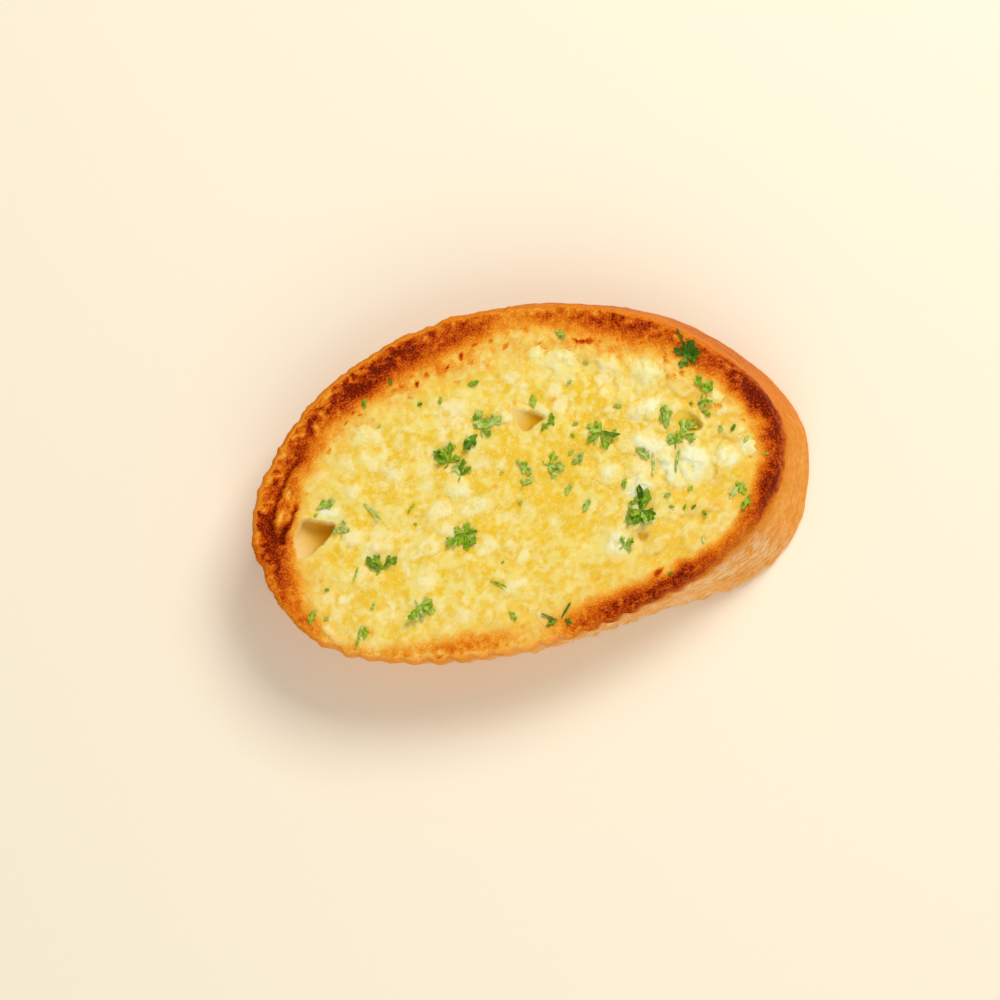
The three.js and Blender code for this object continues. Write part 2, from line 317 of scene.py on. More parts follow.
# %% Soaked crumb, pools and drops
# Where butter ran together: x, y, length, width, turn in degrees
POOLS = [
    [1, -2.5, 40, 23, 5], [42.5, -8, 9, 5, 10], [32, -11, 13, 5, -5], [22, -22, 14, 4, 15], [37, 1, 6, 3, 60],
    [-22, 12, 9, 4, 10], [-30, 2, 8, 4, -30], [-12, -16, 12, 5, 10], [14, 14, 10, 4, -20],
    [-35, -17, 13, 5, 20],
]


def butter(x, y, ragged, gaps, pale):
    """How soaked the crumb is: hills of two sizes, more in pools, gaps and drops and less on pale lumps. Also
    the pools, ovals with an uneven border, and the drops, the middles of some cells."""
    border = 0.5 * uneven("pool", x, y)
    pool = np.max([ease(1.3, 0.4, in_oval(x, y, oval) + border) for oval in POOLS], axis=0)
    near, number = cells(*ragged, *CELLS["drop"])
    drops = ease(0.3, 0.1, near) * ease(0.45, 0.6, number)
    soak = 0.38 + 0.6 * uneven("soaked", x, y) + 0.45 * uneven("wicked", x, y) + 0.45 * pool - 0.4 * pale
    return soak + 0.85 * gaps + 0.5 * drops, pool, drops


# %% [markdown]
# ### Toast
# The grill browned the dry rim most, in a ring that is nowhere the same. It could be painted, but numbers
# once round, blended by the curve that carries the rim, are easier to correct. Further in, dots and a few
# spots caught the grill.

# %% The toasted ring
# Once round from the right end, how brown the ring is, at 24 places
BROWNING = np.array([
    0.84, 1.14, 0.8, 0.62, 0.8, 0.63, 0.42, 0.67, 0.87, 0.94, 0.82, 0.68,
    0.85, 0.98, 0.66, 0.46, 0.26, 0.3, 0.41, 0.2, 0.76, 0.88, 0.5, 0.93,
])
# At 12 places, millimetres in from the rim to where it is brownest, over which it fades inwards, and over
# which the scorch fades down the crust
RING_AT = np.array([0.7, 1.3, 3, 2.6, 3.9, 4.3, 4.2, 2.3, 1, 3.4, 1.7, 0.6])
RING_FADE = np.array([3.2, 4.2, 4.8, 3.2, 4.6, 3.9, 4.6, 5, 3, 3, 3.5, 2.7])
SCORCH_FADE = np.array([4.5, 3.5, 3.5, 4, 4, 4, 4, 4, 4, 4, 3.4, 4.2])
RING_RIM_FADE = 3.8
# How golden the crumb is further in, at the same 12 places, and over how many millimetres that fades
GLOW = np.array([0.1, 0.16, 0.22, 0.18, 0.28, 0.24, 0.12, 0.12, 0.04, 0.05, 0.07, 0.07])
GLOW_FADE = 13


def ring(gap, turn):
    """Browning at a gap from the rim: a bell that is highest on the ring, with its own width on each side."""
    past = gap - once_round(RING_AT, turn)
    fade = np.where(past > 0, once_round(RING_FADE, turn), RING_RIM_FADE)
    return once_round(BROWNING, turn) * np.exp(-((past / fade) ** 2))


def baked(turn):
    """How baked the crust is: most on the domed top of the loaf and least on its base."""
    return 0.42 + 0.4 * rim_frame(turn)[1][..., 1]


print("the ring is brownest at turn", round(BROWNING.argmax() / len(BROWNING), 2))

# %% Toast on the face
# Spots that caught the grill: x, y, length, width, turn in degrees
CHAR_SPOTS = [
    [15.6, 25.6, 4.6, 1.3, -14], [21.5, -25, 2.6, 1.8, 20], [-9.5, 27.5, 1.4, 0.9, 60],
    [-12.6, 25.8, 1.2, 0.9, 30], [-19.5, 23.4, 1.4, 1, 50],
]


def toasting(x, y, ragged, gap, turn, grain, soft):
    """How toasted the face is: the largest of the ring, with a ragged inner edge, the glow and its dots, a
    thin line at the rim and the spots. Soft lumps are wet, so they toast less."""
    edge = 0.9 * uneven("ring edge", x, y) + 0.8 * grain
    toast = ring(gap + edge, turn) * (1 + 0.25 * uneven("patches", x, y) + 0.42 * grain)
    glow = once_round(GLOW, turn) * np.exp(-((gap / GLOW_FADE) ** 4))
    golden = glow * (1 + 0.8 * uneven("glow", x, y) + 0.6 * grain)
    near, number = cells(*ragged, *CELLS["dot"])
    dots = 3 * glow * ease(0.3, 0.1, near) * ease(0.72, 0.8, number)
    rim_line = 0.2 * np.exp(-((gap / 2.4) ** 2))
    toast = np.max([toast, golden, dots, rim_line], axis=0) * (1 - 0.75 * soft * ease(2, 5, gap))
    charred = np.max([ease(1.3, 0.4, in_oval(*ragged, spot)) for spot in CHAR_SPOTS], axis=0)
    near, number = cells(*ragged, *CELLS["spot"])
    spots = ease(0.22, 0.04, near) * ease(0.9, 0.95, number)
    return np.max([toast, 0.85 * charred, 0.24 * spots], axis=0)


# %% [markdown]
# ### The lifted strip
# At the left end a strip of crust has lifted. A crack runs along its rim side and round its lower end, which
# has a notch. Both are sunk and painted dark as the shade in them. A loose sheet would have to be fitted,
# while raising the face in an oval keeps one skin.

# %% Strip, crack and notch
# Ovals: x, y, length, width, turn in degrees
CRUST_STRIP = [-50, 4.9, 14.5, 3.4, 60]
STRIP_NOTCH = [-52.8, -2.4, 4.2, 2.6, 50]


def lifted_strip(x, y, ragged, grain):
    """Shares of the strip, its crack and its notch, and how toasted the strip is. Strip and notch are ovals
    with rough borders, the crack is a band round the strip where it is torn, and streaks run along it."""
    along, across = along_across(x, y, CRUST_STRIP)
    out = in_oval(x + 0.6 * grain, y + 0.4 * uneven("strip", x, y, 2), CRUST_STRIP)
    strip = ease(1.2, 0.75, out)
    torn = np.maximum(ease(-0.3, 0.8, across), ease(1.5, -1.5, along))
    crack = ease(1.85, 1.2, out) * (1 - strip) * torn
    notch = ease(1.3, 0.5, in_oval(*ragged, STRIP_NOTCH)) * (1 - strip)
    return strip, crack, notch, 0.42 + 0.12 * grain + 0.2 * uneven("streaks", along / 4, across, 3)


print("the lifted strip is", CRUST_STRIP[2], "mm long")

# %% [markdown]
# ### Open holes
# Gas cells that the knife cut open are smooth hollows with a sharp rim and straight edges, deepest at one
# end. They could be cut with booleans, which leave slivers. Sinking the face keeps the grid even.

# %% Holes
# Corners of the mouth, depth, direction of the deep end, butter that ran in, and how much painted shade the
# shallow end gets
HOLES = [
    ([(-50.9, -3.7), (-50.2, -7.8), (-47.2, -7.4), (-40.7, -2.2), (-47.8, 0.4)], 3.8, 20, 0, 0.3),
    ([(-0.1, 9.0), (5.8, 11.3), (2.0, 14.0), (-2.0, 15.0)], 2.2, -25, 0.3, 0.45),
    ([(31.9, 3.0), (36.5, 1.9), (36.7, 4.8), (33.5, 7.6), (30.7, 6.3)], 2, -35, 1, 0.5),
    ([(19.2, -18.8), (22.2, -16.6), (18.4, -15.6)], 2, -60, 0.3, 0.85),
]
HOLE_SLOPE = 1.7


def open_holes(x, y, soak):
    """How far holes sink the face, how much painted shade they get, most at the deep end, and the soak with
    the butter that ran in. Inside a mouth the wall is a quarter round, and the depth fades towards the
    shallow end."""
    sink, hole = np.zeros_like(x), np.zeros_like(x)
    for corners, depth, aim, wet, shallow_shade in HOLES:
        aside = along_across(x, y, (*np.mean(corners, axis=0), 0, 0, aim))[0] / depth
        past = past_edges(x, y, corners) + 0.3 * uneven("hole edge", x, y)
        inside = np.clip(-past / HOLE_SLOPE, 0, 1)
        sink = np.maximum(sink, depth * np.sqrt(inside * (2 - inside)) * ease(-1.4, 0.7, aside))
        hole = np.maximum(hole, ease(0.1, -0.3, past) * (shallow_shade + (1 - shallow_shade) * ease(-1, 1, aside)))
        soak = np.where(past < 0, wet, soak)
    return sink, hole, soak


print(len(HOLES), "holes, up to", max(depth for _, depth, *_ in HOLES), "mm deep")

# %% [markdown]
# ### All layers together
# Modifiers could be stacked, one for each layer, but only one function can also be asked between the points.

# %% The face as a function of x and y
# The cut edge of the crust that shows round the face, in millimetres
CRUST_EDGE = 1.8


def face(x, y):
    """Height and shares of the face at x and y. The layers lie on the slow height, each as high as its factor
    says. They fade out at the rim and in the holes, which sink the face."""
    gap, turn = from_rim(x, y)
    ragged = x + 0.8 * uneven("ragged", x, y), y + 0.8 * uneven("ragged", x, y, 5)
    grain = uneven("grain", x, y)
    curd, grit, clump, soft, gaps, pale = crumb_lumps(x, y, ragged, gap)
    soak, pool, drops = butter(x, y, ragged, gaps, pale)
    pale = pale * (1 - 0.75 * pool) * (1 - 0.8 * drops)
    toast = toasting(x, y, ragged, gap, turn, grain, soft)
    strip, crack, notch, streaked = lifted_strip(x, y, ragged, grain)
    # The crack and the notch are painted dark as shade, by raising the toast share there
    toast = np.maximum(np.maximum(toast, crack) * (1 - strip) + streaked * strip, 1.1 * notch)
    sink, hole, soak = open_holes(x, y, soak)
    in_hole = ease(0, 0.2, hole)
    toast = toast * (1 - 0.8 * in_hole)

    near, _ = cells(x, y, *CELLS["pore"])
    pores = ease(0.34, 0.14, near) * ease(0.0, 0.5, uneven("pores", x, y) + 0.6 * toast)
    lumps = 0.1 * curd + 0.04 * grit + 0.1 * uneven("lumps", x, y) - 0.06 * gaps - 0.08 * drops
    bumps = lumps * (1 - 0.65 * pool) + 0.4 * soft + 0.4 * clump + 0.05 * grain
    bumps = bumps + 0.25 * toast * grain - 0.22 * pores + 0.6 * strip - 0.7 * crack - 0.9 * notch
    height = slow_height(x, y) + bumps * (1 - in_hole) * ease(0, 1.5, gap + 0.8) - sink
    shares = {"toast": toast, "pale": pale, "soak": soak, "hole": hole}
    shares = {share: np.clip(values, 0, 1) for share, values in shares.items()}
    return shares | {
        "height": height, "crust": ease(1, 0.3, gap / CRUST_EDGE + 0.4 * grain), "bake": baked(turn),
    }


sample = face(np.array([0.0, -52.0, -45.5]), np.array([0.0, 4.4, -4.0]))
print("height in the middle, on the strip and in the left hole:", sample["height"].round(2))

# %% [markdown]
# ## The mesh of the slice
# Rings of points would meet in a pole that shows, so a grid is bent into the oval. Its border is carried
# round the corner, down the leaning crust and under the foot, row by row, and a coarser grid closes the
# underside. So the slice is one closed skin, as the real one is.

# %% Grid of the face
FACE_COLUMNS, FACE_ROWS = 268, 168
EDGE_ROUND = 1.2


def oval_grid(columns, rows):
    """A square grid pressed into a disc: each side of the square bows out by the ellipse rule. Gives how far
    out each grid point is, from 0 to 1, and the turn that it lies at."""
    u, v = np.meshgrid(np.linspace(-1, 1, columns + 1), np.linspace(-1, 1, rows + 1))
    disc_x, disc_y = u * np.sqrt(1 - v**2 / 2), v * np.sqrt(1 - u**2 / 2)
    return np.hypot(disc_x, disc_y), np.mod(np.arctan2(disc_y, disc_x) / (2 * np.pi), 1)


def around(numbers):
    """The numbers on a grid's border, anticlockwise from its lower right corner."""
    return np.concatenate([numbers[:-1, -1], numbers[-1, :0:-1], numbers[:0:-1, 0], numbers[0, :-1]])


def squares(numbers):
    """Four corners of each square of a grid of point numbers, facing up."""
    corners = [numbers[:-1, :-1], numbers[:-1, 1:], numbers[1:, 1:], numbers[1:, :-1]]
    return np.stack(corners, -1).reshape(-1, 4)


print("the face has", FACE_COLUMNS * FACE_ROWS, "squares")

# %% The crust wall
LEAN = np.array([5.8, 2.7])
HEEL_AT = np.array([41, -27])
HEEL_OUT = 7.1
HEEL_REACH = 23.5
BELLY = 0.3
RIDGE_PITCH = 4.6
RIDGE_OUT = 0.4


def wall(turn, w, inset):
    """Point of the crust at a turn, w from 0 at the rim to 1 at the foot: the rim moved by the lean, heel,
    belly and ridges, and roughened where it is nicked or wrinkled. Also how wrinkled it is."""
    at, out = rim_frame(turn)
    x, y = at[..., 0], at[..., 1]
    height = (1 - w) * THICKNESS
    heel = HEEL_OUT * np.exp(-((np.linalg.norm(at - HEEL_AT, axis=-1) / HEEL_REACH) ** 2)) * w
    on_base = ease(0, 8, -20 - y)
    phase = 2 * np.pi * x / RIDGE_PITCH + 1.4 * hills(x, y, 0, 9, 51)
    ridges = RIDGE_OUT * on_base * np.sin(phase) * (0.65 + 0.5 * hills(x, y, 0, 14, 52))
    torn = 0.22 + 0.2 * ease(10, -30, x - y)
    nicks = torn * rough(x, y, 0.5 * height, 2.8, 53, 4) * (0.4 + 0.6 * ease(0.3, 0, w))
    wrinkled = ease(0, 8, -15 - y) * ease(52, 40, x) * ease(0.05, 0.25, w) * (0.3 + 0.7 * ease(-35, 5, x))
    wrinkles = (0.1 + 0.25 * wrinkled) * rough(x / 2.2, y / 2.2, height, 1.6, 57)
    bumps = 0.35 * hills(x, y, height, 11, 59)
    grow = heel + BELLY * 4 * w * (1 - w) + ridges + nicks + wrinkles + bumps - inset
    return at + LEAN * w[..., None] + out * grow[..., None], wrinkled


print("foot below the right end:", wall(np.zeros(1), np.ones(1), 0)[0].round(1), "mm")

# %% Rows of the wall, from the rounded edge to the rounded foot
EDGE_STEPS, WALL_STEPS = 4, 34
quarter = np.linspace(0, np.pi / 2, EDGE_STEPS + 1)
edge_in = EDGE_ROUND * (1 - np.sin(quarter))
edge_down = EDGE_ROUND * (1 - np.cos(quarter))
insets = np.concatenate([edge_in, np.zeros(WALL_STEPS - 1), edge_in[::-1]])
repeats = np.ones(WALL_STEPS + 1, int)
repeats[[0, -1]] = EDGE_STEPS + 1
downs = np.repeat(np.linspace(0, 1, WALL_STEPS + 1), repeats)
lifts = np.concatenate([EDGE_ROUND - edge_down, np.zeros(WALL_STEPS - 1), edge_down[::-1] - EDGE_ROUND])

reach, turn = oval_grid(FACE_COLUMNS, FACE_ROWS)
rim_place, _ = wall(turn, np.zeros_like(turn), EDGE_ROUND)
face_xy = MIDDLE + (rim_place - MIDDLE) * reach[..., None]
face_shares = face(face_xy[..., 0], face_xy[..., 1])
face_points = np.dstack([face_xy, face_shares["height"]])
print("face grid:", face_points.shape[:2], "points about 0.4 mm apart")

# %% Points of the wall and of the underside
# How far out the underside's grid goes to meet the foot, and how far out its pores lie
BASE_REACH, PORE_REACH = 0.985, 0.97
ring_turn = around(turn)
ring_count = len(ring_turn)
ring_height = around(face_shares["height"])
w_rows, ring_rows = np.meshgrid(downs, ring_turn, indexing="ij")
wall_xy, wrinkled = wall(ring_rows, w_rows, insets[:, None])
wall_z = (ring_height - EDGE_ROUND) * (1 - w_rows) + EDGE_ROUND * w_rows + lifts[:, None]
wall_points = np.dstack([wall_xy, wall_z])

base_reach, base_turn = oval_grid(FACE_COLUMNS // 2, FACE_ROWS // 2)
foot_place, _ = wall(base_turn, np.ones_like(base_turn), EDGE_ROUND)
base_xy = MIDDLE + LEAN + (foot_place - MIDDLE - LEAN) * (BASE_REACH * base_reach[..., None])
base_x, base_y = base_xy[..., 0], base_xy[..., 1]
base_pores = ease(0.32, 0.1, cells(base_x, base_y, 3.1, 61)[0]) * (base_reach < PORE_REACH)
base_points = np.dstack([base_xy, 0.7 * base_pores])
print("wall grid:", wall_points.shape[:2], "underside grid:", base_points.shape[:2])

# %% Shares of the wall and of the underside
wall_x, wall_y = wall_xy[..., 0], wall_xy[..., 1]
wall_grain = rough(wall_x, wall_y, wall_z, 1.6, 65)
scorch_fade = once_round(SCORCH_FADE, ring_turn)
scorch = ring(np.zeros(ring_count), ring_turn) * np.exp(-((w_rows * THICKNESS / scorch_fade) ** 2))
wall_shares = {
    "toast": np.clip(scorch * (1 + 0.3 * wall_grain), 0, 1),
    "pale": wrinkled,
    "soak": 0.4,
    "hole": 0,
    "crust": 1,
    "bake": np.clip(baked(ring_rows) + 0.12 * rough(wall_x, wall_y, wall_z, 12, 63), 0, 1),
}
base_gap, _ = from_rim(base_x - LEAN[0], base_y - LEAN[1])
base_grain = rough(base_x, base_y, 5, 2, 67)
base_shares = {
    "toast": np.clip(0.75 * np.exp(-(((base_gap - 3) / 3.4) ** 2)) * (1 + 0.4 * base_grain) + 0.12, 0, 1),
    "pale": np.clip(0.4 * rough(base_x, base_y, 9, 4, 69) + 0.2, 0, 1),
    "soak": 0.25,
    # The underside's pores take the hole colours, painted shade included
    "hole": base_pores,
    "crust": 0,
    "bake": 0,
}
print("mean toast of the underside:", base_shares["toast"].mean().round(2))

# %% Join face, wall and underside into one closed skin


def make_mesh(name, points, faces, shares):
    """A mesh object from points in millimetres, its faces, and one attribute for each share."""
    mesh = bpy.data.meshes.new(name)
    mesh.from_pydata((points * MM).tolist(), [], faces)
    mesh.polygons.foreach_set("use_smooth", np.ones(len(mesh.polygons), bool))
    for share, values in shares.items():
        attribute = mesh.attributes.new(share, "FLOAT", "POINT")
        attribute.data.foreach_set("value", np.ascontiguousarray(values, np.float32))
    mesh.update()
    piece = bpy.data.objects.new(name, mesh)
    bpy.context.scene.collection.objects.link(piece)
    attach(piece, "root")
    print(name, "has", len(mesh.vertices), "points and", sum(len(f) - 2 for f in faces), "triangles")
    return piece


face_numbers = np.arange(reach.size).reshape(reach.shape)
wall_numbers = face_numbers.size + np.arange((len(downs) - 1) * ring_count).reshape(-1, ring_count)
wall_numbers = np.vstack([around(face_numbers), wall_numbers])
base_numbers = wall_numbers.max() + 1 + np.arange(base_reach.size).reshape(base_reach.shape)
ahead = np.roll(wall_numbers, -1, axis=1)
wall_quads = np.stack([wall_numbers[1:], ahead[1:], ahead[:-1], wall_numbers[:-1]], -1).reshape(-1, 4)
foot, inner = wall_numbers[-1], around(base_numbers)
mid, last, inner_next = foot[1::2], np.roll(foot[::2], -1), np.roll(inner, -1)
skirt = np.concatenate([
    np.stack([inner, mid, foot[::2]], -1),
    np.stack([inner, inner_next, mid], -1),
    np.stack([inner_next, last, mid], -1),
])
bread_points = np.concatenate([grid.reshape(-1, 3) for grid in (face_points, wall_points[1:], base_points)])
bread_faces = squares(face_numbers).tolist() + wall_quads.tolist()
bread_faces += squares(base_numbers)[:, ::-1].tolist() + skirt.tolist()
bread_shares = {
    share: np.concatenate([
        face_shares[share].ravel(),
        np.broadcast_to(wall_shares[share], w_rows.shape)[1:].ravel(),
        np.broadcast_to(base_shares[share], base_reach.shape).ravel(),
    ])
    for share in wall_shares
}

# The solid's origin is the middle of its box, so the skin moves from the face's frame to that one
SHIFT = (box_low + box_high)[:2] / 2 - (bread_points[:, :2].max(0) + bread_points[:, :2].min(0)) / 2
SHIFT = np.append(SHIFT, 0)
bread = make_mesh("bread_slice", bread_points + SHIFT, bread_faces, bread_shares)
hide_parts(NODE)
print("shift from the face's frame:", SHIFT.round(2))

# %% [markdown]
# ## Bread: crumb, toast and crust
# The colour of bread is how far it has baked. One ramp runs from butter yellow through gold and orange to
# dark brown, and the toast share picks the place on it. Crumb and crust have their own colours under it.
# A fine noise shifts the toast share, which breaks the ring into grains as real toasting does.

# %% Small helpers for node materials


def linear(red, green, blue):
    """A colour picked from 0 to 255 as the eye sees it, turned into the linear light that shaders use."""
    c = np.array([red, green, blue]) / 255
    return (*np.where(c <= 0.04045, c / 12.92, ((c + 0.055) / 1.055) ** 2.4).tolist(), 1.0)


class Look:
    """A new material's node tree, with one short call for each kind of node. Sizes are in millimetres."""

    def __init__(self, name):
        self.material = bpy.data.materials.new(name)
        self.material.use_nodes = True
        self.tree = self.material.node_tree
        self.shader = self.tree.nodes["Principled BSDF"]

    def put(self, socket, value):
        """Link the socket if the value comes from a node, or else set it."""
        if isinstance(value, bpy.types.NodeSocket):
            self.tree.links.new(value, socket)
        else:
            socket.default_value = value

    def add(self, kind, inputs=(), out=0, **settings):
        """A new node with its settings and inputs. Gives one of its outputs."""
        node = self.tree.nodes.new("ShaderNode" + kind)
        for name, value in settings.items():
            setattr(node, name, value)
        for name, value in dict(inputs).items():
            self.put(node.inputs[name], value)
        return node.outputs[out]

    def share(self, name):
        return self.add("Attribute", out="Fac", attribute_name=name)

    def noise(self, size, detail=3.0, stretch=(1, 1, 1)):
        where = self.add("TexCoord", out="Object")
        if stretch != (1, 1, 1):
            where = self.add("Mapping", {"Vector": where, "Scale": stretch})
        return self.add("TexNoise", {"Vector": where, "Scale": 1 / (size * MM), "Detail": detail})

    def cells(self, size):
        where = self.add("TexCoord", out="Object")
        return self.add("TexVoronoi", {"Vector": where, "Scale": 1 / (size * MM)}, out="Distance")

    def math(self, operation, a, b, c=0.5, clamp=False):
        return self.add("Math", {0: a, 1: b, 2: c}, operation=operation, use_clamp=clamp)

    def mix(self, factor, a, b):
        return self.add("Mix", {0: factor, 6: a, 7: b}, out=2, data_type="RGBA")

    def ramp(self, factor, stops):
        """Colours blended from stop to stop. A stop is its place and a colour, or a grey in linear light."""
        node = self.tree.nodes.new("ShaderNodeValToRGB")
        self.put(node.inputs[0], factor)
        while len(node.color_ramp.elements) < len(stops):
            node.color_ramp.elements.new(0.5)
        for element, (place, *colour) in zip(node.color_ramp.elements, stops):
            element.position = place
            element.color = linear(*colour) if len(colour) == 3 else (*colour * 3, 1)
        return node.outputs[0]

    def nudge(self, share, *noises):
        """The share moved up or down by each noise, which lies round a half, and kept from 0 to 1."""
        for noise, reach in noises:
            shift = self.math("MULTIPLY_ADD", noise, reach, -reach / 2)
            share = self.math("ADD", share, shift, clamp=True)
        return share

    def bump(self, height, depth, strength):
        return self.add("Bump", {"Height": height, "Distance": depth * MM, "Strength": strength})

    def finish(self, piece, **inputs):
        """Set the shader's sockets, named with underscores, and give the material to a piece."""
        for name, value in inputs.items():
            self.put(self.shader.inputs[name.replace("_", " ")], value)
        piece.data.materials.append(self.material)
        print(self.material.name, "has", len(self.tree.nodes), "nodes")


# %% Colours of the crumb


def grains(look):
    """The noises that grain the bread, from coarse to fine."""
    return look.noise(1.3, 3.0), look.noise(0.55, 2.0), look.noise(0.36, 1.0)


def crumb_colour(look, coarse, grain, fine):
    """Crumb between dry and soaked, with paler lumps and tiny painted glints, each blurred by noise."""
    soaked = look.nudge(look.share("soak"), (coarse, 2.2), (fine, 1.0))
    crumb = look.mix(soaked, linear(240, 218, 112), linear(237, 191, 6))
    lumps = look.nudge(look.share("pale"), (grain, 1.4), (fine, 0.9))
    crumb = look.mix(lumps, crumb, linear(247, 231, 168))
    # Tiny pale specks, where the coarse noise is high, are painted glints
    painted_glints = look.ramp(look.cells(0.8), [(0.1, 1), (0.36, 0)])
    some = look.math("MULTIPLY", painted_glints, look.ramp(coarse, [(0.45, 0), (0.7, 0.5)]))
    return look.mix(some, crumb, linear(250, 236, 176))


look = Look("toasted_bread")
toast, pale, soak = look.share("toast"), look.share("pale"), look.share("soak")
hole, crust, bake = look.share("hole"), look.share("crust"), look.share("bake")
coarse, grain, fine = grains(look)
crumb = crumb_colour(look, coarse, grain, fine)
# Hole walls are pale tan. Painted shade turns them ochre towards the deep end, and butter that ran in makes
# them golden
hole_colour_and_shade = look.ramp(hole, [
    (0.3, 240, 208, 142), (0.55, 228, 190, 108), (0.8, 214, 168, 60), (1.0, 208, 148, 10),
])
hole_colour_and_shade = look.mix(look.math("MULTIPLY", soak, 0.7), hole_colour_and_shade, linear(236, 198, 32))
crumb = look.mix(look.math("MULTIPLY", hole, 4.0, clamp=True), crumb, hole_colour_and_shade)
print("crumb colours take", len(look.tree.nodes), "nodes")

# %% Colours of the crust, with flour in its wrinkles
streaks = look.noise(1.1, 3.0, (0.18, 0.18, 1))
baking = look.nudge(bake, (coarse, 0.6), (streaks, 0.6), (fine, 0.5))
skin = look.ramp(baking, [
    (0.0, 254, 180, 88), (0.2, 242, 156, 56), (0.45, 231, 136, 26), (0.7, 217, 116, 20), (1.0, 182, 86, 14),
])
lines = look.ramp(look.noise(0.6, 3.0, (0.3, 0.3, 1)), [(0.44, 0), (0.56, 1)])
zones = look.ramp(look.noise(6.0, 2.0, (0.5, 0.5, 1)), [(0.35, 0.3), (0.6, 1)])
flour = look.math("MULTIPLY", pale, look.math("MULTIPLY", lines, zones))
skin = look.mix(flour, skin, linear(250, 214, 162))
print("with the crust's", len(look.tree.nodes), "nodes")

# %% Toast over both, and the finish
under = look.mix(crust, crumb, skin)
toasted = look.math("MULTIPLY", toast, look.math("MULTIPLY_ADD", fine, 1.3, 0.35), clamp=True)
browned = look.ramp(look.math("MAXIMUM", toasted, look.math("MULTIPLY", crust, 0.38)), [
    (0.0, 240, 198, 92), (0.2, 238, 174, 62), (0.32, 233, 146, 34), (0.45, 220, 116, 14),
    (0.58, 203, 92, 8), (0.72, 180, 66, 4), (0.86, 148, 42, 0), (1.0, 106, 22, 0),
])
cover = look.math("MULTIPLY_ADD", crust, -2.0, 4.5)
colour = look.mix(look.math("MULTIPLY", toasted, cover, clamp=True), under, browned)

roughness = look.math("MULTIPLY_ADD", soak, -0.25, 0.62)
roughness = look.math("MULTIPLY_ADD", toast, 0.2, roughness)
relief = look.math("ADD", grain, look.mix(crust, look.math("MULTIPLY", coarse, 0.8), streaks))
look.finish(
    bread, Base_Color=colour, Roughness=roughness, Normal=look.bump(relief, 0.18, 0.3),
    Subsurface_Weight=0.12, Subsurface_Scale=0.002, Subsurface_Radius=(1.0, 0.6, 0.25),
    Specular_IOR_Level=0.05,
)

# %% [markdown]
# ## Crushed garlic
# Garlic pressed into the butter stays in pale wet lumps. A lump is a soft mound with random hills on it: a
# grid of two angles worked out for all lumps at once, which is quicker than an icosphere and a modifier each.

# %% Lumps from two angles
GARLIC_HEIGHT = 0.15
GARLIC_SUNK = 0.1
MOUND_REACH = 0.74
CAP_ANGLE = 0.03
chance = np.random.default_rng(2024)


def strewn(count, oval, sizes):
    """Small bits strewn evenly over an oval given as x, y, length and width, but not into a hole."""
    out, angle = np.sqrt(chance.uniform(0, 1, count)), chance.uniform(0, 2 * np.pi, count)
    x, y = oval[0] + oval[2] / 2 * out * np.cos(angle), oval[1] + oval[3] / 2 * out * np.sin(angle)
    width = chance.uniform(*sizes, count)
    length, turn = width * chance.uniform(1.1, 1.9, count), chance.uniform(0, 180, count)
    bits = np.stack([x, y, length, width, turn, chance.uniform(0.2, 0.5, count)], 1)
    return bits[face(x, y)["hole"] == 0]


def tube_faces(count, rows, columns, first=0):
    """Faces of count closed tubes, numbered from the first point on: each is a grid of rows by columns that
    joins round, with a cap on either end."""
    one = first + np.arange((rows + 1) * columns).reshape(rows + 1, columns)
    ahead = np.roll(one, -1, axis=1)
    sides = np.stack([one[:-1], ahead[:-1], ahead[1:], one[1:]], -1).reshape(-1, 4)
    caps = np.stack([one[0, ::-1], one[-1]])
    starts = np.arange(count)[:, None, None] * one.size
    return (sides + starts).reshape(-1, 4).tolist() + (caps + starts).reshape(-1, columns).tolist()


def mounds(rows, high, wide):
    """Soft mounds: points at a height angle and a round angle, pushed in and out by hills round the mound.
    Their height is the sine of the height angle to a power, so that they meet the crumb at a slant. Also the
    shares of the face below, and how bare of butter they are: as the row says on top, less at the sides and
    in creases."""
    lift = np.linspace(CAP_ANGLE - np.pi / 2, np.pi / 2 - CAP_ANGLE, high + 1)[None, :, None]
    spin = np.linspace(0, 2 * np.pi, wide, endpoint=False)[None, None, :]
    x, y, length, width, angle, white = (column[:, None, None] for column in rows.T)
    level = np.broadcast_to(np.sin(lift), (len(rows), high + 1, wide))
    unit_x, unit_y = np.cos(lift) * np.cos(spin), np.cos(lift) * np.sin(spin)
    lobed = rough(1.6 * np.cos(spin) + 3 * x, 1.6 * np.sin(spin) + 3 * y, 0, 1.5, 71, 2)
    swell = 1 + 0.45 * np.cos(lift) ** 2 * lobed
    along, across = MOUND_REACH * length * unit_x * swell, MOUND_REACH * width * unit_y * swell
    c, s = np.cos(np.radians(angle)), np.sin(np.radians(angle))
    px, py = x + along * c - across * s, y + along * s + across * c
    bumps = 1 + 0.5 * rough(px, py, 0, 2.4, 73)
    rise = GARLIC_HEIGHT * width * (0.3 + 0.7 * white) * (np.sign(level) * level**4 * bumps - GARLIC_SUNK)
    below = face(px, py)
    bare = white * ease(0.45, 1, level) * (0.5 + 0.55 * ease(0.7, 1.1, bumps))
    shares = {"bare": bare.ravel(), "soak": below["soak"].ravel(), "pale": below["pale"].ravel()}
    return np.stack([px, py, below["height"] + rise], -1).reshape(-1, 3), shares


small = np.concatenate([strewn(10, [31, 0, 26, 22], (0.9, 2)), strewn(8, [-8, 1, 84, 44], (0.8, 1.8))])
big_points, big_shares = mounds(GARLIC, 24, 48)
small_points, small_shares = mounds(small, 8, 12)
lump_faces = tube_faces(len(GARLIC), 24, 48) + tube_faces(len(small), 8, 12, len(big_points))
garlic = make_mesh(
    "garlic_bits", np.concatenate([big_points, small_points]) + SHIFT, lump_faces,
    {share: np.concatenate([big_shares[share], small_shares[share]]) for share in big_shares},
)

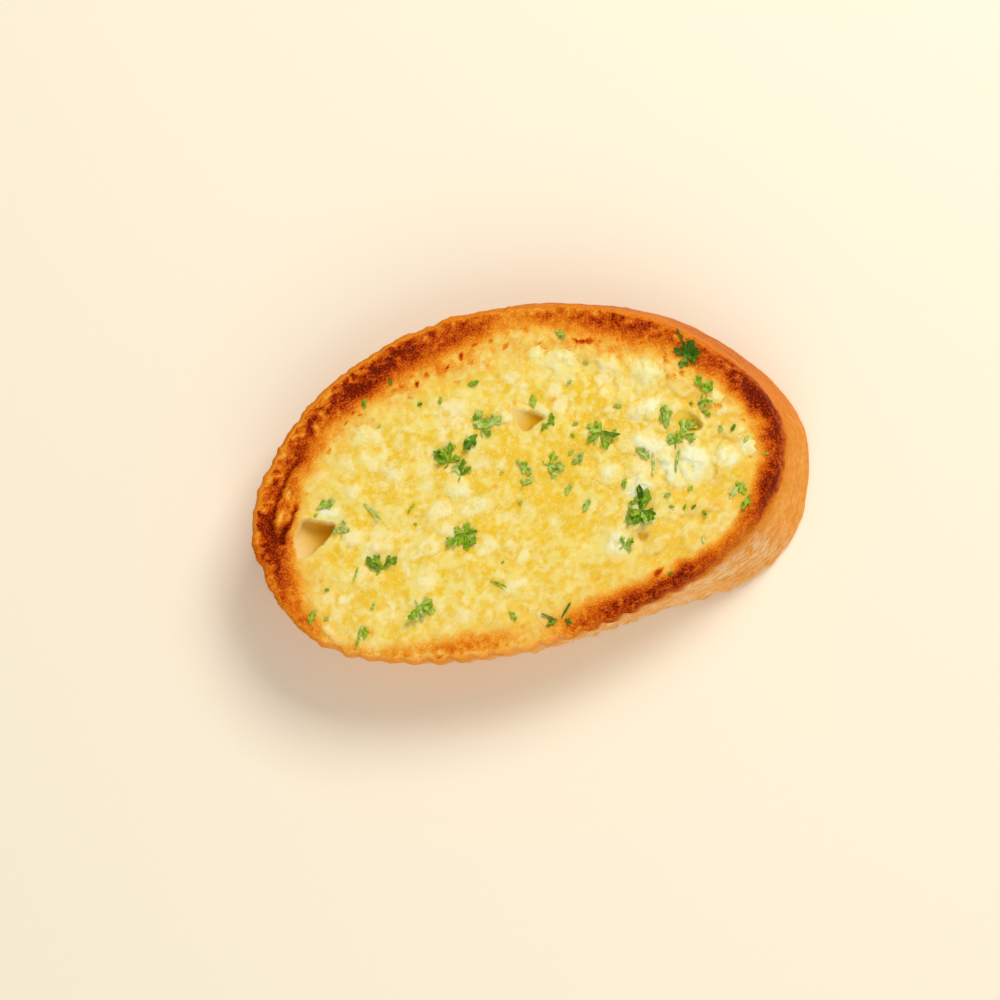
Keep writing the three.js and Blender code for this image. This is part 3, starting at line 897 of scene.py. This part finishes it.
# %% The garlic's material
look = Look("crushed_garlic")
coarse, grain, fine = grains(look)
crumb = crumb_colour(look, coarse, grain, fine)
clots = look.math("MULTIPLY_ADD", coarse, 1.6, 0.15)
patchy = look.math("ADD", clots, look.math("MULTIPLY_ADD", grain, 1.0, -0.5))
bare = look.math("MULTIPLY", look.share("bare"), patchy, clamp=True)
cream = look.ramp(bare, [(0.0, 243, 216, 108), (0.5, 242, 229, 150), (1.0, 242, 239, 192)])
look.finish(
    garlic, Base_Color=look.mix(look.math("MULTIPLY", bare, 1.4, clamp=True), crumb, cream),
    Normal=look.bump(grain, 0.2, 0.5), Roughness=0.45, Specular_IOR_Level=0.12,
)

# %% [markdown]
# ## Chopped parsley
# Parsley leaves are fans of toothed lobes. Each lobe here is a flat tube, a profile carried along a curved
# midrib with small teeth at its sides, and lobes that belong together share a foot. Drawing outlines and
# filling them would leave flat paper, while tubes curl and catch light.

# %% Where the sprigs lie
# Each kind: x, y of the foot of the stalk, span, turn in degrees
PARSLEY = {
    "fan": [
        [-7.9, 11.5, 4.6, 55], [-16.2, 6.1, 4.1, 84], [36.4, 18.9, 3.9, 29], [30.4, 0.8, 3.3, 79],
        [20.5, -11.7, 4.5, 244], [-15.7, -9.3, 4.5, 229], [-27.9, -22.3, 4.4, -69],
    ],
    "trio": [
        [-14.3, 2.9, 3.4, 64], [-2, -1.7, 2.6, 34], [3.7, 1.3, 3.8, -31], [16, 6.3, 4.5, 267],
        [16, 6.3, 3.2, 137], [36.4, 18.9, 4.2, 229], [38.2, 10, 4, 49], [38.5, 8.5, 2.6, 254],
        [32, 2.5, 4.2, 4], [15.6, -18.4, 2.8, 19], [-15.7, -9.3, 3.1, 69], [-33.9, -13.1, 4.1, 32],
        [-40.4, -4.2, 2.8, 74],
    ],
    "leaf": [
        [-9.4, 10.7, 4.2, 216], [3.2, 13.6, 3.7, 70], [6.7, 9.2, 3.5, 103], [6.3, 9.9, 2.6, 198],
        [-2.5, 3.7, 4.1, -32], [8.5, 0.7, 4.6, 17], [37, 6.3, 3, -22], [29.3, 4, 6.6, 84],
        [22, 1.2, 4.4, -42], [20.5, -11.7, 4.8, 60], [18.2, -6.7, 3.1, 94], [38.8, -12.9, 3, 56],
        [40.9, -9.5, 4.4, -56], [43.1, -12.9, 3.4, 211], [-0.7, -30.5, 2.4, 217],
        [0.7, -30.6, 2.6, -63], [-40.3, -26.7, 3.2, 62], [10.9, 29, 3.5, -49], [-50.4, -21.8, 3, 67],
        [-10.1, -26.7, 2.4, -65], [-34.1, -13.3, 5, 158], [-44.7, 1.8, 4.6, 22],
    ],
    "broad": [
        [20.6, -11.6, 3.4, 206], [21, -12, 3.5, 292], [20.8, -11.4, 4.4, 66], [-9.2, 10.6, 3.8, 214],
        [18.4, -9.6, 2, 280],
    ],
    "shred": [
        [36.4, 20.8, 3.4, 114], [25.3, -0.3, 4.4, -70], [29.1, -5.6, 5.1, 72], [-38.6, -11.6, 3.5, 248],
        [-0.7, -30.6, 4.1, 144], [0, -30.4, 3.9, 49], [-35, 1, 5.4, -49], [-26.4, -2.9, 3.6, 58],
        [-12.8, -19.8, 3.7, -17], [-42.6, -28.6, 5, 39],
    ],
    "fleck": [
        [15.1, 21, 1.8, -11], [11, 16.9, 1.8, 61], [-9.2, 21.2, 2.6, -23], [8.8, -9.6, 3, 44],
        [19.3, 10.7, 2.1, 9], [39.9, 2.5, 2, -69], [42.1, 0.6, 2, 62], [25.7, -9.8, 2, 32],
        [10.3, 8.7, 1.5, 9], [9.5, 6.9, 1.4, -41], [-37.6, -21.1, 1.8, 54], [-3.9, -4.7, 1.8, -61],
        [-25.7, -5, 1, -11], [8.3, 2.6, 2, 59], [18.3, -9.9, 1.8, 19], [-20.2, 19, 1.8, 9],
        [-15.5, 18.2, 1.9, 89], [6.2, -5.5, 2.6, 69], [44.1, -1.9, 1.9, 34], [47.8, -5.2, 1.5, -1],
        [26.3, -12, 1.4, -11], [29.2, -13.5, 1.4, 79], [30.7, -13.6, 1.5, 19], [32.9, -14.2, 1.9, -43],
        [31.6, -19.5, 2, -79], [30.8, -9.3, 1.8, 19], [34.9, 8.4, 1.4, -11], [-24.7, 24.1, 1.9, 74],
        [-31.1, 20.4, 2.3, 59], [-46.2, -15, 1.6, -11], [-47.6, -21.2, 1.5, 29], [-6.4, 1.4, 1.4, -11],
        [23.2, -25.8, 1.4, 9], [-45.5, 0.3, 1.5, 9], [-9.7, -16.7, 1, 49], [-29.2, 16, 1, 9],
    ],
}
# Lobes of a finger: where they leave it, their angle, length and half width as shares of the finger's own.
# A leaflet has two teeth, a blade has three, and a shred is bare.
LEAFLET = [(0.0, 0, 1.0, 1.0), (0.4, 42, 0.46, 0.75), (0.55, -40, 0.36, 0.7)]
BLADE = [(0.0, 0, 1.0, 1.0), (0.25, 42, 0.36, 0.75), (0.4, -38, 0.38, 0.7), (0.62, 34, 0.28, 0.65)]
# Lobes and fingers of each kind. A finger is its angle from the sprig's direction, and its length and half
# width as shares of the span.
KINDS = {
    "fan": (LEAFLET, [
        (-74, 0.66, 0.095), (-34, 0.96, 0.11), (4, 0.72, 0.095), (38, 0.96, 0.11), (78, 0.66, 0.095),
    ]),
    "trio": (LEAFLET, [(-48, 0.78, 0.1), (0, 1.0, 0.12), (50, 0.84, 0.1)]),
    "leaf": (BLADE, [(0, 1.0, 0.115)]),
    "broad": (BLADE, [(0, 1.0, 0.17)]),
    "shred": (BLADE[:1], [(0, 1.0, 0.06)]),
    "fleck": (BLADE[:2], [(0, 0.9, 0.17)]),
}
STALK = (180, 0.4, 0.045)
print({kind: len(places) for kind, places in PARSLEY.items()})

# %% One row of numbers for each lobe
# Sprigs are darker on browned bread, and get painted shade for each of up to three others that lie closer
# than this, as leaves that overlap shade each other
CLOSE = 2.5
TOAST_DARKENS, OTHERS_SHADE = 0.8, 0.11


def lobe_rows(kind, x, y, span, turn, dark):
    """x, y, heading, length, half width, bend, curl, tone and lift of the lobes of one sprig: its fingers,
    the teeth that leave them and, for more than one finger, its stalk. Dark, the darkening from toast
    together with the painted shade of close sprigs, is taken off its tone."""
    tone = np.clip(chance.normal(0.66, 0.15) - dark, 0, 1)
    rows = []
    finger_lobes, fingers = KINDS[kind]
    for angle, reach, half in fingers:
        heading = turn + angle + chance.normal(0, 13)
        length = span * reach * chance.uniform(0.7, 1.12)
        bend, curl = chance.normal(0, 0.4), 0.16 * span * abs(chance.normal())
        for start, side, share, breadth in finger_lobes:
            out, way = start * length, np.radians(heading) + bend * start / 2
            rows.append([
                x + out * np.cos(way), y + out * np.sin(way), np.radians(heading + side), length * share,
                span * half * breadth, bend, curl * (share + start**2),
                np.clip(tone + chance.normal(0, 0.15), 0, 1), curl * start**2,
            ])
    if len(fingers) > 1:
        angle, reach, half = STALK
        heading, bend = np.radians(turn + angle), chance.normal(0, 0.6)
        rows.append([x, y, heading, span * reach, span * half, bend, 0.05, tone, 0])
    return rows


sprigs = [(kind, *place) for kind, places in PARSLEY.items() for place in places]
sprig_x, sprig_y = np.array([sprig[1:3] for sprig in sprigs]).T
apart = np.hypot(sprig_x[:, None] - sprig_x, sprig_y[:, None] - sprig_y)
others = np.minimum((apart < CLOSE).sum(1) - 1, 3)
# Darkening from toast, and painted shade from close sprigs
sprig_toast_and_shade = TOAST_DARKENS * face(sprig_x, sprig_y)["toast"] + OTHERS_SHADE * others
lobes = np.array([row for sprig, dark in zip(sprigs, sprig_toast_and_shade) for row in lobe_rows(*sprig, dark)])
print(len(lobes), "lobes in", len(sprigs), "sprigs")

# %% Lobes as flat tubes
LOBE_ROWS, LOBE_COLUMNS = 9, 8
LEAF_HALF_THICKNESS = 0.11
LEAF_CLEAR = 0.22
# Teeth along a lobe, and the largest value of the powers that shape its width
LOBE_TEETH, LOBE_WIDEST = 2.5, 0.56


def garlic_below(x, y):
    """How high the garlic stands over the face at x and y: each lump's mound without its unevenness."""
    high = np.zeros_like(x)
    for *oval, white in GARLIC:
        level = np.clip(1 - (in_oval(x, y, oval) / (2 * MOUND_REACH)) ** 2, 0, 1)
        high = np.maximum(high, GARLIC_HEIGHT * oval[3] * (0.3 + 0.7 * white) * level**2)
    return high


def lobe_tubes(table):
    """A point at s along the midrib and a profile angle: the midrib turns by the bend, the width grows and
    closes again with small teeth, and the leaf is folded up from its midrib, curls at the tip and lies on the
    face or the garlic below it."""
    x, y, heading, length, half, bend, curl, _, lift = (column[:, None, None] for column in table.T)
    s = np.linspace(0, 1, LOBE_ROWS + 1)[None, :, None]
    profile = np.linspace(0, 2 * np.pi, LOBE_COLUMNS, endpoint=False)[None, None, :]
    across, through = np.cos(profile), np.sin(profile)
    teeth = 1 + 0.15 * np.cos(2 * np.pi * LOBE_TEETH * s + 3 * bend)
    width = half * (s**0.5 * (1 - s) ** 0.35) / LOBE_WIDEST * teeth
    width = np.where((s > 0) & (s < 1), np.maximum(width, 0.04), 0.01)
    aim = heading + bend * s
    px = x + length * s * np.cos(heading + bend * s / 2) - width * across * np.sin(aim)
    py = y + length * s * np.sin(heading + bend * s / 2) + width * across * np.cos(aim)
    fold = 0.5 * width * np.abs(across) + 0.35 * width * across * np.sin(5 * s + 9 * bend)
    thick = LEAF_HALF_THICKNESS * through * np.sin(np.pi * np.clip(s, 0.02, 0.98)) ** 0.5
    ground = face(px, py)["height"] + garlic_below(px, py)
    return np.stack([px, py, ground + LEAF_CLEAR + lift + curl * s**2 + fold + thick], -1)


leaf_points = lobe_tubes(lobes)
leaf_faces = tube_faces(len(lobes), LOBE_ROWS, LOBE_COLUMNS)
leaf_shares = {"tone": np.repeat(lobes[:, 7], (LOBE_ROWS + 1) * LOBE_COLUMNS)}
parsley = make_mesh("parsley", leaf_points.reshape(-1, 3) + SHIFT, leaf_faces, leaf_shares)

# %% The parsley's material
look = Look("chopped_parsley")
green = look.ramp(look.share("tone"), [
    (0.0, 58, 102, 0), (0.3, 116, 158, 0), (0.6, 170, 198, 28), (1.0, 208, 224, 130),
])
shade = look.ramp(look.noise(0.9), [(0.4, 0), (0.65, 0.62)])
look.finish(
    parsley, Base_Color=look.mix(shade, green, linear(46, 96, 0)), Roughness=0.45, Specular_IOR_Level=0.2,
    Normal=look.bump(look.noise(0.35), 0.1, 0.5), Subsurface_Weight=0.05, Subsurface_Scale=0.001,
)

# %% [markdown]
# ## Table, light and camera
# A pale cream table and one large soft light from the upper right, with a broad fill from the other side,
# keep the shadows open. A small hard lamp would make the crumb look like gravel.

# %% Floor
FLOOR_HALF = 1500
mesh = bpy.data.meshes.new("floor")
corners = np.array([[-1, -1, 0], [1, -1, 0], [1, 1, 0], [-1, 1, 0]]) * FLOOR_HALF * MM
mesh.from_pydata(corners.tolist(), [], [(0, 1, 2, 3)])
floor = bpy.data.objects.new("floor", mesh)
bpy.context.scene.collection.objects.link(floor)
table = Look("cream_table")
table.finish(floor, Base_Color=linear(252, 241, 217), Roughness=0.9, Specular_IOR_Level=0.1)
floor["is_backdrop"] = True

# %% Lights


def soft_light(name, place, size, power, colour=(1, 1, 1)):
    """A square area light at a place in millimetres, facing the slice."""
    light = bpy.data.lights.new(name, "AREA")
    light.shape = "SQUARE"
    light.size = size * MM
    light.energy = power
    light.color = colour
    lamp = bpy.data.objects.new(name, light)
    lamp.location = np.array(place) * MM
    lamp.rotation_euler = (-lamp.location).to_track_quat("-Z", "Y").to_euler()
    bpy.context.scene.collection.objects.link(lamp)
    print(name, "light of", power, "watts at", place, "mm")


soft_light("key", (380, 430, 720), 450, 5.4, (1.0, 0.98, 0.95))
soft_light("fill", (-150, -700, 800), 900, 3.9)
world = bpy.data.worlds.new("studio")
world.use_nodes = True
sky = world.node_tree.nodes["Background"]
sky.inputs["Color"].default_value = (1.0, 0.99, 0.97, 1)
sky.inputs["Strength"].default_value = 0.36
bpy.context.scene.world = world
bpy.context.scene.view_settings.view_transform = "Standard"

# %% Camera, looking down on the face
AZIMUTH, ELEVATION, DISTANCE = np.radians(-11.4), np.radians(80), 750
LENS, SENSOR = 129.6, 36
# How far the eye is moved left and down, so that the slice sits right of and above the picture's middle
EYE_LEFT, EYE_DOWN = 6.46, 3.33
AIM = np.array([0, 0, 10]) + SHIFT
away = np.array([np.sin(AZIMUTH), -np.cos(AZIMUTH), 0])
back = away * np.cos(ELEVATION) + np.array([0, 0, np.sin(ELEVATION)])
right = np.array([np.cos(AZIMUTH), np.sin(AZIMUTH), 0])
up = np.cross(back, right)
eye = AIM + DISTANCE * back - EYE_LEFT * right - EYE_DOWN * up

lens = bpy.data.cameras.new("camera")
lens.lens, lens.sensor_width = LENS, SENSOR
lens.clip_start, lens.clip_end = 0.01, 20
camera = bpy.data.objects.new("camera", lens)
camera.matrix_world = Matrix.LocRotScale(eye * MM, Matrix(np.stack([right, up, back], 1)), None)
bpy.context.scene.collection.objects.link(camera)
bpy.context.scene.camera = camera
print("camera at", eye.round(1), "mm")

# %% [markdown]
# ## Finish
# The visual model's box is set beside the solid's, and how far it reaches past it is printed in millimetres.
# The visual model has to stay in the solid's box, give or take a little.

# %% Both boxes, and how far apart they are
new_low, new_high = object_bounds()
boxes = {"cad": [list(cad_low), list(cad_high)], "visual": [list(new_low), list(new_high)]}
low_gap, high_gap = (np.subtract(*pair) / MM for pair in zip(boxes["visual"], boxes["cad"]))
print("visual minus solid box in mm:", low_gap.round(2), high_gap.round(2))
